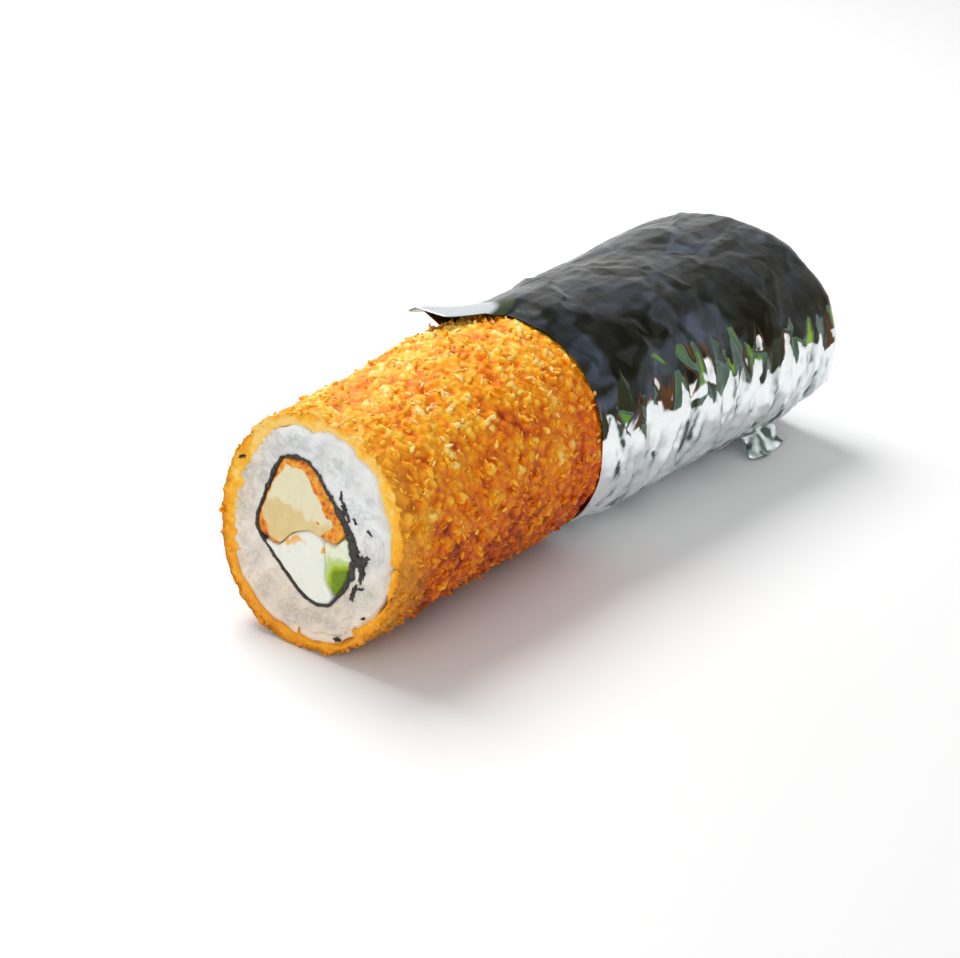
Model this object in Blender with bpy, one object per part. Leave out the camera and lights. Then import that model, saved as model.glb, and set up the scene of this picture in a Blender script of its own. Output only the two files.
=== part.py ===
"""A crumbed and deep-fried sushi roll, cut at one end, with its back half in kitchen foil.

Metres, +Z up. The roll lies along Y with its cut face towards -Y. It rests at z = 0 on the
slightly flattened underside of the crust and of the foil. Every piece is one solid, and the
fillings run through the roll from the cut face to its far end.
"""
import math

import bmesh
import bpy

MM = 0.001

# ---- Driving dimensions, millimetres -----------------------------------------------------
OVERALL_LENGTH = 184.0      # cut face at the table to the end of the foil
ROLL_LENGTH = 177.4         # cut face to the hidden end of the roll
FACE_LEAN = 0.166           # how far the cut face leans back, per millimetre of height
FIT_GAP = 0.35              # clearance between pieces that touch

FRONT_HALF_WIDTH = 26.6     # outside of the crust at the cut face
MIDDLE_HALF_WIDTH = 28.2    # outside of the crust where the foil starts
FRONT_HEIGHT = 54.2
MIDDLE_HEIGHT = 55.6
ROLL_SQUARENESS = 2.1       # superellipse power: 2 is an ellipse
CRUST_SINK = 0.45           # how much of the round underside is pressed flat
CRUST_THICK_TOP = 2.7
CRUST_THICK_SIDE = 3.0
CRUST_BUMP = 0.5            # height of the crust's broad lumps
CRUST_STEP = 0.9            # thicker coating behind the middle of the bare half
CRUST_STEP_START = 34.0     # where that thickening starts and is complete
CRUST_STEP_END = 48.0
TUCK_LENGTH = 9.0           # before the foil, the roll draws in over this length
TUCK_MARGIN = 1.0

FOIL_EDGE = 80.6            # where the foil starts
FOIL_THICK = 0.8
FOIL_FRONT_HALF_WIDTH = 29.9
FOIL_BACK_HALF_WIDTH = 36.8
FOIL_FRONT_HEIGHT = 57.2
FOIL_BACK_HEIGHT = 54.6
FOIL_STANDOFF = 2.2         # from the foil's outer skin to the crust inside it
FOIL_CREASE = 0.55          # depth of the foil's broad creases
FOIL_SETTLE = 10.0          # the creases grow to their full depth over this length
FOIL_END_ROUND = 5.5        # length of the folded end's rounding
FOIL_END_SHARE = 0.76       # size of the folded end against the foil's section
FOIL_MIDDLE_SHARE = 0.5     # sizes of the two rings on the folded end
FOIL_CENTRE_SHARE = 0.2
FOIL_FLOOR_SHARES = (0.4, 0.97, 1.0)    # rings of the foil's inner end, from the axis outwards
PLEAT_COUNT = 7             # folds gathered on the foil's end
PLEAT_DEPTH = 1.1
END_DISH = 2.0              # how far the middle of the folded end sinks in
LIP_LENGTH = 16.5           # the loose flap of foil at the front edge
LIP_LIFT = 3.6
LIP_ANGLE = math.radians(117.0)
LIP_HALF_ANGLE = math.radians(22.0)
LIP_ROOT = 16.0             # how far back along the foil the flap's lift reaches
TAG_POSITION = 163.0        # the crumpled scrap of foil low on the right
TAG_ANGLE = math.radians(-42.0)
TAG_HEIGHT = 2.2
TAG_HALF_LENGTH = 7.0
TAG_HALF_ANGLE = 0.3

CORE_HEIGHT = 27.0          # height of the roll's axis
NORI_THICK = 0.9
NORI_OVERLAP = 1.1          # extra thickness where the sheet's ends overlap
# Corners of the nori tube's section, from the axis, and how far each is rounded
NORI_CORNERS = (
    (-10.8, 16.4), (-1.6, 17.6), (11.6, 4.0), (14.2, -5.2),
    (8.6, -15.4), (1.4, -15.8), (-16.6, -2.6),
)
NORI_ROUNDING = 3.6
FILLING_REACH = 20.0        # beyond the nori tube on every side, before the fillings are trimmed
# The wavy underside of the chicken strip, from left to right
CHICKEN_UNDERSIDE = (
    (-FILLING_REACH, -3.2), (-12.0, -4.2), (-8.2, -5.2), (-5.0, -1.2), (0.0, 1.0),
    (4.6, 0.2), (7.8, -0.4), (10.6, 3.0), (FILLING_REACH, 3.0),
)
CUCUMBER_START = 5          # the underside's corner where the cucumber begins
# The side of the cucumber that lies against the cheese, from the top down
CUCUMBER_SIDE = ((5.6, -4.6), (6.0, -9.0), (9.6, -12.0), (FILLING_REACH, -12.0))

# ---- Mesh density --------------------------------------------------------------------------
AROUND = 52
ARC_STEPS = 2
CRUST_RINGS = 26
FOIL_RINGS = 24
CORE_RINGS = 3
RICE_RINGS = 7
INNER_STRIDE = 5            # one inner crust ring for this many outer rings
END_STEPS = 4
SHARP_ANGLE = math.radians(50.0)


def smoothstep(low, high, value):
    """0 below low, 1 above high, with a soft ramp between them."""
    t = min(max((value - low) / (high - low), 0.0), 1.0)
    return t * t * (3.0 - 2.0 * t)


def mix(first, second, share):
    return first + (second - first) * share


def angle_gap(first, second):
    """The smallest angle between two directions, in radians."""
    return abs((first - second + math.pi) % math.tau - math.pi)


def superellipse(half_width, half_height, power, angle):
    """One point of a superellipse centred on the axis."""
    cosine = math.cos(angle)
    sine = math.sin(angle)
    exponent = 2.0 / power
    x = half_width * math.copysign(abs(cosine) ** exponent, cosine)
    z = half_height * math.copysign(abs(sine) ** exponent, sine)
    return x, z


def face_shift(z):
    """How far the leaning cut face has moved back at a height."""
    return FACE_LEAN * z


# ---- The roll's own outline ----------------------------------------------------------------
def foil_size(y):
    """Half width and height of the foil before its creases."""
    share = min(max((y - FOIL_EDGE) / (OVERALL_LENGTH - FOIL_EDGE), 0.0), 1.0)
    half_width = mix(FOIL_FRONT_HALF_WIDTH, FOIL_BACK_HALF_WIDTH, share)
    return half_width, mix(FOIL_FRONT_HEIGHT, FOIL_BACK_HEIGHT, share)


def roll_size(y):
    """Half width, height and lowest point of the roll at a distance from the cut face."""
    bare_share = min(y / FOIL_EDGE, 1.0)
    covered = smoothstep(FOIL_EDGE - TUCK_LENGTH, FOIL_EDGE - TUCK_MARGIN, y)
    foil_half_width, foil_height = foil_size(y)
    lowest = (FOIL_THICK + FIT_GAP) * covered
    half_width = mix(FRONT_HALF_WIDTH, MIDDLE_HALF_WIDTH, bare_share)
    half_width = mix(half_width, foil_half_width - FOIL_STANDOFF, covered)
    height = mix(FRONT_HEIGHT, MIDDLE_HEIGHT, smoothstep(0.0, 0.8, bare_share))
    height = mix(height, foil_height - FOIL_STANDOFF - lowest, covered)
    return half_width, height, lowest


def crust_relief(angle, y):
    """Broad lumps of the fried coating, which die out underneath and under the foil."""
    lumps = math.sin(3.0 * angle + y * 0.11) * math.cos(y * 0.21 - angle)
    lumps += 0.6 * math.sin(5.0 * angle - y * 0.17 + 1.3)
    ridge = smoothstep(CRUST_STEP_START, CRUST_STEP_END, y) * (0.5 + 0.5 * math.sin(angle))
    bare = 1.0 - smoothstep(FOIL_EDGE - TUCK_LENGTH, FOIL_EDGE - TUCK_MARGIN, y)
    bare *= smoothstep(-0.985, -0.8, math.sin(angle))
    return bare * (CRUST_BUMP * lumps * 0.6 + CRUST_STEP * (ridge - 0.4))


def crust_outside(angle, y):
    half_width, height, lowest = roll_size(y)
    half_height = 0.5 * height + CRUST_SINK
    grow = 1.0 + crust_relief(angle, y) / FRONT_HALF_WIDTH
    x, z = superellipse(half_width * grow, half_height * grow, ROLL_SQUARENESS, angle)
    return x, max(z + half_height - CRUST_SINK + lowest, lowest)


def crust_inside(angle, y):
    half_width, height, lowest = roll_size(y)
    half_height = 0.5 * height - CRUST_THICK_TOP
    x, z = superellipse(half_width - CRUST_THICK_SIDE, half_height, ROLL_SQUARENESS, angle)
    return x, z + 0.5 * height + lowest


def rice_outside(angle, y):
    half_width, height, lowest = roll_size(y)
    half_height = 0.5 * height - CRUST_THICK_TOP - FIT_GAP
    half_width = half_width - CRUST_THICK_SIDE - FIT_GAP
    x, z = superellipse(half_width, half_height, ROLL_SQUARENESS, angle)
    return x, z + 0.5 * height + lowest


# ---- The foil's outline --------------------------------------------------------------------
def foil_crease(angle, y):
    """Creases pressed into the foil: long folds above, short upright ones low on the sides."""
    long_fold = abs(math.sin(2.0 * angle + y * 0.045)) - 0.3
    facets = abs(math.sin(4.0 * angle - y * 0.13)) - 0.3
    wrinkle = abs(math.sin(y * 0.42 + 3.0 * math.sin(angle * 2.0))) - 0.15
    low = 1.0 - smoothstep(-0.35, 0.15, math.sin(angle))
    upper = FOIL_CREASE * (0.7 * long_fold + 0.4 * facets)
    return mix(upper, FOIL_CREASE * 1.5 * wrinkle, low)


def foil_outside(angle, y):
    """The foil's outer skin, which stands further off the roll towards the back."""
    half_width, height = foil_size(y)
    half_height = 0.5 * height + CRUST_SINK
    settled = smoothstep(FOIL_EDGE, FOIL_EDGE + FOIL_SETTLE, y)
    tag = max(0.0, 1.0 - abs(y - TAG_POSITION) / TAG_HALF_LENGTH)
    tag *= max(0.0, 1.0 - angle_gap(angle, TAG_ANGLE) / TAG_HALF_ANGLE)
    grow = 1.0 + (settled * foil_crease(angle, y) + TAG_HEIGHT * tag) / FOIL_FRONT_HALF_WIDTH
    x, z = superellipse(half_width * grow, half_height * grow, ROLL_SQUARENESS, angle)
    return x, max(z + half_height - CRUST_SINK, 0.0)


def lip_share(angle):
    """1 along the middle of the loose flap, 0 outside it."""
    offset = angle_gap(angle, LIP_ANGLE) / LIP_HALF_ANGLE
    return 1.0 - smoothstep(0.62, 1.0, offset)


# ---- Mesh helpers --------------------------------------------------------------------------
def skinned(mesh, rings):
    """Add a list of equal rings to a mesh, with faces between neighbouring rings."""
    loops = [[mesh.verts.new([value * MM for value in point]) for point in ring] for ring in rings]
    for near, far in zip(loops, loops[1:]):
        join_loops(mesh, near, far)
    return loops


def join_loops(mesh, near, far):
    for index in range(len(near)):
        following = (index + 1) % len(near)
        mesh.faces.new((near[index], near[following], far[following], far[index]))


def capped_mesh(rings):
    """A body whose first and last rings are filled in."""
    mesh = bmesh.new()
    loops = skinned(mesh, rings)
    mesh.faces.new(list(reversed(loops[0])))
    mesh.faces.new(loops[-1])
    return mesh


def tube_mesh(outer, inner):
    """A tube whose outside and inside rings have the same number of points."""
    mesh = bmesh.new()
    loops = skinned(mesh, outer + inner)
    join_loops(mesh, loops[-1], loops[0])
    return mesh


def ring_pair_mesh(outer, inner):
    """A tube whose outside and inside rings have different numbers of points."""
    mesh = bmesh.new()
    skins = [skinned(mesh, rings) for rings in (outer, inner)]
    for end in (0, -1):
        edges = []
        for loops in skins:
            loop = loops[end]
            edges += [mesh.edges.get((loop[i - 1], loop[i])) for i in range(len(loop))]
        bmesh.ops.triangle_fill(mesh, edges=edges, use_beauty=True)
    return mesh


def add_piece(name, mesh, material):
    """Turn a mesh into an object with its faces pointing out."""
    bmesh.ops.triangulate(mesh, faces=mesh.faces[:])
    bmesh.ops.recalc_face_normals(mesh, faces=mesh.faces[:])
    data = bpy.data.meshes.new(name)
    mesh.to_mesh(data)
    mesh.free()
    data.shade_smooth()
    data.set_sharp_from_angle(angle=SHARP_ANGLE)
    data.materials.append(material)
    piece = bpy.data.objects.new(name, data)
    bpy.context.scene.collection.objects.link(piece)
    return piece


def make_material(name, colour, roughness, metallic=0.0):
    material = bpy.data.materials.new(name)
    material.use_nodes = True
    shader = material.node_tree.nodes["Principled BSDF"]
    shader.inputs["Base Color"].default_value = (*colour, 1.0)
    shader.inputs["Roughness"].default_value = roughness
    shader.inputs["Metallic"].default_value = metallic
    return material


def placed(x, y, z):
    """Roll distances to part coordinates: the part is centred on its own length."""
    return x, y - 0.5 * OVERALL_LENGTH, z


def leaning_ring(outline, y):
    """A ring whose cut-face lean fades out along the roll; outline(angle, y) gives x and z."""
    fade = 1.0 - smoothstep(0.0, 1.0, y / ROLL_LENGTH)
    ring = []
    for index in range(AROUND):
        angle = math.tau * index / AROUND
        z = outline(angle, y)[1]
        moved = y + face_shift(z) * fade
        x, z = outline(angle, moved)
        ring.append(placed(x, moved, z))
    return ring


def foil_ring(y, inward, end_scale, pleat=0.0):
    """A ring of the foil, moved inward by its thickness, drawn in by end_scale and pleated."""
    ring = []
    for index in range(AROUND):
        angle = math.tau * index / AROUND
        x, z = foil_outside(angle, y)
        middle = 0.5 * FOIL_BACK_HEIGHT
        reach = math.hypot(x, z - middle)
        lip = lip_share(angle)
        forward = 1.0 - smoothstep(FOIL_EDGE, FOIL_EDGE + LIP_ROOT, y)
        scale = end_scale * (reach - inward + LIP_LIFT * lip * forward ** 2) / reach
        x = x * scale
        z = max(middle + (z - middle) * scale, inward)
        fold = pleat * abs(math.sin(0.5 * PLEAT_COUNT * angle))
        ring.append(placed(x, y - LIP_LENGTH * lip * forward ** 2 - fold, z))
    return ring


def rounded(corners, radius):
    """A polygon with each corner turned into an arc-like curve of about the given radius."""
    points = []
    total = len(corners)
    for index, corner in enumerate(corners):
        before = corners[index - 1]
        after = corners[(index + 1) % total]
        ends = []
        for neighbour in (before, after):
            length = math.dist(corner, neighbour)
            share = min(radius / length, 0.45)
            ends.append([mix(corner[axis], neighbour[axis], share) for axis in (0, 1)])
        for step in range(ARC_STEPS + 1):
            t = step / ARC_STEPS
            point = []
            for axis in (0, 1):
                near = mix(ends[0][axis], corner[axis], t)
                far = mix(corner[axis], ends[1][axis], t)
                point.append(mix(near, far, t))
            points.append(tuple(point))
    return points


def inset(corners, distance):
    """Move every edge of a clockwise polygon inward by a distance."""
    moved = []
    total = len(corners)
    for index, corner in enumerate(corners):
        before = corners[index - 1]
        after = corners[(index + 1) % total]
        normals = []
        for start, end in ((before, corner), (corner, after)):
            length = math.dist(start, end)
            normals.append(((end[1] - start[1]) / length, -(end[0] - start[0]) / length))
        bisector = (normals[0][0] + normals[1][0], normals[0][1] + normals[1][1])
        scale = distance / (1.0 + normals[0][0] * normals[1][0] + normals[0][1] * normals[1][1])
        moved.append((corner[0] + bisector[0] * scale, corner[1] + bisector[1] * scale))
    return moved


def trimmed(section, tube):
    """The part of a section that lies inside a clockwise convex tube."""
    kept = list(section)
    for start, end in zip(tube, tube[1:] + tube[:1]):
        depths = []
        for point in kept:
            across = (point[0] - start[0]) * (end[1] - start[1])
            depths.append(across - (point[1] - start[1]) * (end[0] - start[0]))
        inside = []
        for index, point in enumerate(kept):
            before = kept[index - 1]
            if depths[index] * depths[index - 1] < 0.0:
                share = depths[index - 1] / (depths[index - 1] - depths[index])
                inside.append((mix(before[0], point[0], share), mix(before[1], point[1], share)))
            if depths[index] >= 0.0:
                inside.append(point)
        kept = inside
    return kept


def section_ring(section, y):
    """Place a section of the core at a distance along the roll, on the leaning cut."""
    fade = 1.0 - smoothstep(0.0, 1.0, y / ROLL_LENGTH)
    ring = []
    for x, height in section:
        z = height + CORE_HEIGHT
        ring.append(placed(x, y + face_shift(z) * fade, z))
    return ring


def core_positions():
    return [ROLL_LENGTH * step / (CORE_RINGS - 1) for step in range(CORE_RINGS)]


# ---- Pieces --------------------------------------------------------------------------------
def build_crust(material):
    """The crumb coating: a tube open at the cut face and at the hidden end."""
    positions = [ROLL_LENGTH * step / (CRUST_RINGS - 1) for step in range(CRUST_RINGS)]
    outer = [leaning_ring(crust_outside, y) for y in positions]
    inner = [leaning_ring(crust_inside, y) for y in reversed(positions[::INNER_STRIDE])]
    return add_piece("crumb_crust", tube_mesh(outer, inner), material)


def nori_outer_section():
    """The nori tube's outside, thicker along its right side where the ends overlap."""
    section = rounded(NORI_CORNERS, NORI_ROUNDING)
    grown = []
    for x, height in section:
        overlap = smoothstep(3.0, 10.0, x) * smoothstep(-14.0, -6.0, height)
        grown.append((x + NORI_OVERLAP * overlap, height))
    return grown


def build_rice(material):
    """The layer of pressed rice between the crust and the nori."""
    positions = [ROLL_LENGTH * step / (RICE_RINGS - 1) for step in range(RICE_RINGS)]
    outer = [leaning_ring(rice_outside, y) for y in positions]
    hole = inset(nori_outer_section(), -FIT_GAP)
    inner = [section_ring(hole, y) for y in core_positions()]
    return add_piece("rice_layer", ring_pair_mesh(outer, inner), material)


def build_nori(material):
    """The seaweed sheet, rolled into a tube round the fillings."""
    outer_section = nori_outer_section()
    inner_section = inset(rounded(NORI_CORNERS, NORI_ROUNDING), NORI_THICK)
    outer = [section_ring(outer_section, y) for y in core_positions()]
    inner = [section_ring(inner_section, y) for y in reversed(core_positions())]
    return add_piece("nori_sheet", tube_mesh(outer, inner), material)


def chicken_corners():
    above = [(-FILLING_REACH, FILLING_REACH), (FILLING_REACH, FILLING_REACH)]
    return above + list(reversed(CHICKEN_UNDERSIDE))


def cheese_corners():
    below = [(FILLING_REACH, -FILLING_REACH), (-FILLING_REACH, -FILLING_REACH)]
    return list(CHICKEN_UNDERSIDE[:CUCUMBER_START + 1]) + list(CUCUMBER_SIDE) + below


def cucumber_corners():
    return list(CHICKEN_UNDERSIDE[CUCUMBER_START:]) + list(reversed(CUCUMBER_SIDE))


def build_filling(name, corners, material):
    """A strip of filling, trimmed to the nori tube, with one section along the whole roll."""
    tube = inset(rounded(NORI_CORNERS, NORI_ROUNDING), NORI_THICK + FIT_GAP)
    section = trimmed(inset(corners, 0.5 * FIT_GAP), tube)
    rings = [section_ring(section, y) for y in core_positions()]
    return add_piece(name, capped_mesh(rings), material)


def build_foil(material):
    """The foil cup: open towards the cut face, folded shut behind the roll."""
    straight = OVERALL_LENGTH - FOIL_END_ROUND
    positions = [mix(FOIL_EDGE, straight, step / (FOIL_RINGS - 1)) for step in range(FOIL_RINGS)]
    outer = [foil_ring(y, 0.0, 1.0) for y in positions]
    for step in range(1, END_STEPS + 1):
        turn = 0.5 * math.pi * step / END_STEPS
        y = straight + FOIL_END_ROUND * math.sin(turn)
        outer.append(foil_ring(y, 0.0, mix(FOIL_END_SHARE, 1.0, math.cos(turn))))
    middle = OVERALL_LENGTH - 0.5 * END_DISH
    outer.append(foil_ring(middle, 0.0, FOIL_MIDDLE_SHARE, PLEAT_DEPTH))
    centre = OVERALL_LENGTH - END_DISH
    outer.append(foil_ring(centre, 0.0, FOIL_CENTRE_SHARE, 0.5 * PLEAT_DEPTH))
    inner = []
    for step, share in enumerate(FOIL_FLOOR_SHARES):
        clearance = (len(FOIL_FLOOR_SHARES) - step) * FIT_GAP
        inner.append(foil_ring(ROLL_LENGTH + clearance, FOIL_THICK, share))
    inner += [foil_ring(y, FOIL_THICK, 1.0) for y in reversed(positions[:-1:2])]
    return add_piece("foil_wrap", capped_mesh(inner + outer), material)


def clear_scene():
    for item in list(bpy.data.objects):
        bpy.data.objects.remove(item, do_unlink=True)


def main():
    clear_scene()
    crumbs = make_material("fried_crumbs", (0.80, 0.36, 0.04), 0.55)
    rice = make_material("cooked_rice", (0.70, 0.68, 0.60), 0.45)
    nori = make_material("roasted_nori", (0.02, 0.02, 0.02), 0.50)
    chicken = make_material("cooked_chicken", (0.75, 0.62, 0.38), 0.50)
    cheese = make_material("cream_cheese", (0.85, 0.83, 0.72), 0.35)
    cucumber = make_material("cucumber", (0.25, 0.38, 0.06), 0.35)
    foil = make_material("kitchen_foil", (0.60, 0.62, 0.62), 0.25, metallic=1.0)
    build_crust(crumbs)
    build_rice(rice)
    build_nori(nori)
    build_filling("chicken_strip", chicken_corners(), chicken)
    build_filling("cream_cheese", cheese_corners(), cheese)
    build_filling("cucumber_strip", cucumber_corners(), cucumber)
    build_foil(foil)


main()
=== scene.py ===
# %% [markdown]
# # A fried sushi roll in foil
# The object is a thick sushi roll, coated in breadcrumbs and deep-fried, cut at one end and half
# wrapped in kitchen foil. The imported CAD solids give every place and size. This file dresses them:
# crumbs, rice, nori, three fillings and crumpled foil are modelled as meshes around the solids.

# %% Load the frame
import math

import bmesh
import bpy
import numpy as np
from mathutils import Matrix, Vector, noise
from mathutils.bvhtree import BVHTree


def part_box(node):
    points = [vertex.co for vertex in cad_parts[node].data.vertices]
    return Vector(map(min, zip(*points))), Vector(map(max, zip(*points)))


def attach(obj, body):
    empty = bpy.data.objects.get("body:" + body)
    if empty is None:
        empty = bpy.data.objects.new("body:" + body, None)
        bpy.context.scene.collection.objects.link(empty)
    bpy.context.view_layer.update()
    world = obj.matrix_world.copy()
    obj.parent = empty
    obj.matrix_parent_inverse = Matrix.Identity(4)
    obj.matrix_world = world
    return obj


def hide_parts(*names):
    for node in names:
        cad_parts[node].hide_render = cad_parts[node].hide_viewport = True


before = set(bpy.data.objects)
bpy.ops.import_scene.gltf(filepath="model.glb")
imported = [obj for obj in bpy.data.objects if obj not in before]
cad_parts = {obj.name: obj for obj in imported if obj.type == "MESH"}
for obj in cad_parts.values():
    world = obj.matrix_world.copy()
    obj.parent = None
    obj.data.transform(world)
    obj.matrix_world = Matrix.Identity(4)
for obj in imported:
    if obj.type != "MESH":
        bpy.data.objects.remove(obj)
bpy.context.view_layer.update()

# %% [markdown]
# The roll lies along Y with its cut face towards -Y. Working in millimetres, and in distance s from
# the foot of the cut face, keeps the numbers readable. The cut face leans back as it rises.

# %% Directions and sizes taken from the frame
MM = 0.001
FACE_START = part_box("crumb_crust")[0].y / MM
FOIL_BOX = [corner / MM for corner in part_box("foil_wrap")]
FOIL_END = FOIL_BOX[1].y - FACE_START
FACE_LEAN = 0.166
AXIS_HEIGHT = 27.0
FACE_NORMAL = np.array([0.0, -1.0, FACE_LEAN]) / math.hypot(1.0, FACE_LEAN)
print("roll starts at y", round(FACE_START, 2), "mm and is", round(FOIL_END, 1), "mm long")


# %% [markdown]
# Each piece is skinned over rings of points, as a tailor's dummy is built from hoops. Rays shot at
# the CAD solids give the hoops' radii, so a piece can't drift away from the solid it stands for.

# %% Helpers that measure the solids and skin rings
def solid_tree(node_name):
    """A search tree of a CAD solid, in millimetres."""
    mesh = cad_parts[node_name].data
    points = [vertex.co / MM for vertex in mesh.vertices]
    return BVHTree.FromPolygons(points, [tuple(face.vertices) for face in mesh.polygons])


def radius_on(tree, angle, s, inside=False):
    """Distance from the roll's axis to a solid's outer skin, or to its inner one."""
    outward = across_roll(angle)
    axis = Vector((0.0, s + FACE_START, AXIS_HEIGHT))
    if inside:
        hit = tree.ray_cast(axis, outward)
    else:
        hit = tree.ray_cast(axis + outward * 80.0, -outward)
    return None if hit[0] is None else (hit[0] - axis).length


def across_roll(angle, along=0.0):
    """The direction of an angle in the roll's section."""
    return Vector((math.cos(angle), along, math.sin(angle)))


def smoothstep(low, high, value):
    """A soft step from 0 at low to 1 at high."""
    t = np.clip((value - low) / (high - low), 0.0, 1.0)
    return t * t * (3.0 - 2.0 * t)


def make_piece(name, points, faces, smooth=True):
    """A mesh object from points in millimetres."""
    mesh = bpy.data.meshes.new(name)
    mesh.from_pydata((np.asarray(points) * MM).tolist(), [], faces)
    mesh.polygons.foreach_set("use_smooth", [smooth] * len(mesh.polygons))
    mesh.update()
    piece = bpy.data.objects.new(name, mesh)
    bpy.context.scene.collection.objects.link(piece)
    return piece


def ring_faces(ring_count, around, closed):
    """Quads between neighbouring rings; closed joins the last ring to the first."""
    faces = []
    for ring in range(ring_count if closed else ring_count - 1):
        near = ring * around
        far = ((ring + 1) % ring_count) * around
        for column in range(around):
            following = (column + 1) % around
            faces.append((near + column, near + following, far + following, far + column))
    return faces


def add_attribute(piece, name, values):
    layer = piece.data.attributes.new(name, "FLOAT", "POINT")
    layer.data.foreach_set("value", np.asarray(values, dtype=np.float32))


def noise_at(points, size, seed=0.0):
    """Smooth noise from about -1 to 1, with features of the given size in millimetres."""
    shift = Vector((seed * 13.7, seed * 7.1, seed * 3.3))
    return np.array([noise.noise(Vector(point) / size + shift) for point in points])


# %% [markdown]
# Colours are written as sRGB hex, as a colour picker shows them. Blender works in linear light, so
# one function converts them. One more adds a shader node with its settings and links.

# %% Colour and node helpers
def linear(hex_colour):
    values = [int(hex_colour[i:i + 2], 16) / 255.0 for i in (1, 3, 5)]
    return [v / 12.92 if v <= 0.04045 else ((v + 0.055) / 1.055) ** 2.4 for v in values] + [1.0]


def add_node(tree, kind, inputs=None, ramp=None, **settings):
    """Add a node. inputs maps a socket to a value or to another socket; ramp lists colour stops."""
    made = tree.nodes.new(kind)
    for key, value in settings.items():
        setattr(made, key, value)
    for key, value in (inputs or {}).items():
        if isinstance(value, bpy.types.NodeSocket):
            tree.links.new(value, made.inputs[key])
        else:
            made.inputs[key].default_value = value
    for index, (position, colour) in enumerate(ramp or []):
        stops = made.color_ramp.elements
        stop = stops[index] if index < 2 else stops.new(position)
        stop.position = position
        stop.color = linear(colour) if isinstance(colour, str) else (colour, colour, colour, 1.0)
    return made


def start_material(name):
    """A new material: its tree, its Principled shader and its position in millimetres."""
    material = bpy.data.materials.new(name)
    material.use_nodes = True
    tree = material.node_tree
    shader = tree.nodes["Principled BSDF"]
    coordinates = add_node(tree, "ShaderNodeTexCoord")
    scaled = add_node(tree, "ShaderNodeVectorMath",
                      {0: coordinates.outputs["Object"], 1: (1.0 / MM,) * 3}, operation="MULTIPLY")
    return material, tree, shader, scaled.outputs[0]


def noise_map(tree, place, size, detail):
    """A noise texture with features of the given size in millimetres."""
    inputs = {"Vector": place, "Scale": 1.0 / size, "Detail": detail}
    return add_node(tree, "ShaderNodeTexNoise", inputs).outputs["Fac"]


def point_value(tree, name):
    return add_node(tree, "ShaderNodeAttribute", attribute_name=name).outputs["Fac"]


def ranged(tree, value, start, end, low=0.0, high=1.0):
    """Carry a value from the range start to end over to the range low to high."""
    inputs = {"Value": value, "From Min": start, "From Max": end, "To Min": low, "To Max": high}
    return add_node(tree, "ShaderNodeMapRange", inputs).outputs[0]


def maths(tree, operation, *values):
    return add_node(tree, "ShaderNodeMath", dict(enumerate(values)), operation=operation).outputs[0]


def finish_surface(tree, shader, gloss, bump, constants):
    """gloss: a map, lowest and highest roughness. bump: a map, strength and distance in metres."""
    roughness = ranged(tree, gloss[0], 0.0, 1.0, gloss[1], gloss[2])
    tree.links.new(roughness, shader.inputs["Roughness"])
    relief = {"Height": bump[0], "Strength": bump[1], "Distance": bump[2]}
    tree.links.new(add_node(tree, "ShaderNodeBump", relief).outputs[0], shader.inputs["Normal"])
    for socket, value in constants.items():
        shader.inputs[socket].default_value = value


def mixed(tree, share, first, second, blend="MIX"):
    """Mix two colours, given as hex text or as sockets."""
    made = add_node(tree, "ShaderNodeMix", data_type="RGBA", blend_type=blend)
    for socket, value in ((0, share), (6, first), (7, second)):
        if isinstance(value, bpy.types.NodeSocket):
            tree.links.new(value, made.inputs[socket])
        else:
            made.inputs[socket].default_value = linear(value) if isinstance(value, str) else value
    return made.outputs[2]


def dress(piece, material, slot, *nodes):
    """Give a piece its material and its body, and hide the CAD nodes that it stands for; slot is not
    used.
    """
    piece.data.materials.clear()
    piece.data.materials.append(material)
    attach(piece, "root")
    if nodes:
        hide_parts(*nodes)


# %% [markdown]
# ## The crumb coating
# Panko breadcrumbs are torn flakes of 1 to 3 mm, glued on by batter and browned in oil. A smooth
# tube with a bump map would keep a smooth outline, so the flakes are real relief: a fine grid is
# laid over the solid and pushed out cell by cell. Cells of two sizes overlap, as flakes do.

# %% Relief of the fried coating
AROUND = 400
CRUST_STEP = 0.46
FACE_HALF_HEIGHT = 27.0
LARGE_CRUMB = 2.7
SMALL_CRUMB = 1.35
COVERED_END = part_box("crumb_crust")[1].y / MM - FACE_START
FOIL_EDGE = 80.6
crust_tree = solid_tree("crumb_crust")


def shard(point, size):
    """One layer of torn shards: each cell is a tilted flat chip. Gives its height and its tint."""
    distances, centres = noise.voronoi(point / size)
    tilt = noise.noise_vector(centres[0] * 5.7) * 1.6
    away = point / size - centres[0]
    chip = 0.5 + 0.5 * noise.cell(centres[0] * 3.1) + tilt.dot(away)
    rim = min(1.0, (distances[1] - distances[0]) * 3.0)
    return min(max(chip, 0.0), 1.4) * rim, 0.5 + 0.5 * noise.cell(centres[0] * 7.3)


def flake_relief(point):
    """Height in millimetres, and a tint from 0 to 1, of the crumbs at a point of the surface."""
    warp = noise.noise_vector(point / 1.6) * 0.8
    large, tint = shard(point + warp, LARGE_CRUMB)
    small, small_tint = shard(point + warp * 0.6 + Vector((5.0, 5.0, 5.0)), SMALL_CRUMB)
    lumps = noise.noise(point / 7.5)
    pits = max(0.0, -0.1 - noise.noise(point / 3.4 + Vector((9.0, 2.0, 5.0))))
    height = 0.72 * large + 0.42 * small + 0.35 * lumps - 1.2 * pits - 0.45
    return height, 0.45 * tint + 0.25 * small_tint + 0.30 * (0.5 + 0.5 * lumps)


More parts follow.
